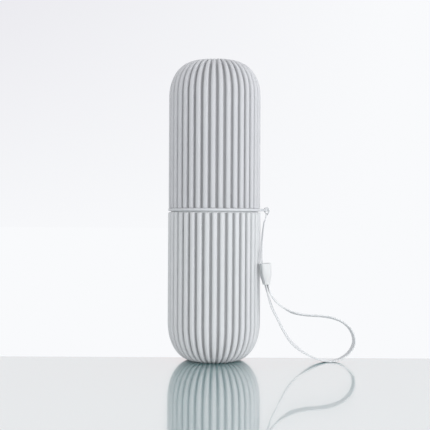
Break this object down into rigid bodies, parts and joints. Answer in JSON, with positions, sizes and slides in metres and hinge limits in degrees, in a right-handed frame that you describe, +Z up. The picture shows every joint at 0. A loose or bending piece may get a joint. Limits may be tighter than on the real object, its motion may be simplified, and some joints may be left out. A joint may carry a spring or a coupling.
{
  "type": "electric toothbrush travel case",
  "caption": "Tall capsule travel case for an electric toothbrush: ribbed cup and lift-off ribbed cap, brush holder inside, and a turning strap ring with a wrist strap.",
  "frame": {"origin": "centre of the base, on the surface that the case stands on", "axes": "+Z up along the case, +X towards the strap lug, and the picture looks along +Y"},
  "size_m": [0.1314, 0.0652, 0.21],
  "materials": {
    "ribbed_shell": "fine satin, moulded polypropylene, cool light grey",
    "inner_cup": "smooth moulded polypropylene",
    "soft_pad": "matte elastomer",
    "holder": "satin moulded plastic",
    "seal": "smooth silicone",
    "ring": "satin moulded plastic, paler than the shells",
    "string": "fine braided cord",
    "ferrule": "bright nickel plate",
    "plug": "matte moulded plastic",
    "band": "woven tape"
  },
  "bodies": {
    "cup": {"cup_shell": "ribbed_shell", "cup_liner": "inner_cup", "base_pad": "soft_pad", "holder_tray": "holder", "handle_pad": "soft_pad", "head_peg_left": "holder", "head_peg_right": "holder", "guide_plate": "holder"},
    "strap_ring": {"strap_ring": "ring", "strap_cord": "string", "ferrule": "ferrule", "ferrule_plug": "plug", "wrist_band": "band"},
    "seal": {"seal_ring": "seal"},
    "cap": {"cap_shell": "ribbed_shell"}
  },
  "joints": [
    {"name": "ring_swivel", "type": "hinge", "parent": "cup", "child": "strap_ring", "pos_m": [0, 0, 0.1056], "axis": [0, 0, 1], "continuous": true},
    {"name": "cap_turn", "type": "hinge", "parent": "cup", "child": "seal", "pos_m": [0, 0, 0.116], "axis": [0, 0, 1], "continuous": true},
    {"name": "cap_lift", "type": "slide", "parent": "seal", "child": "cap", "axis": [0, 0, 1], "range_m": [0, 0.1]}
  ]
}
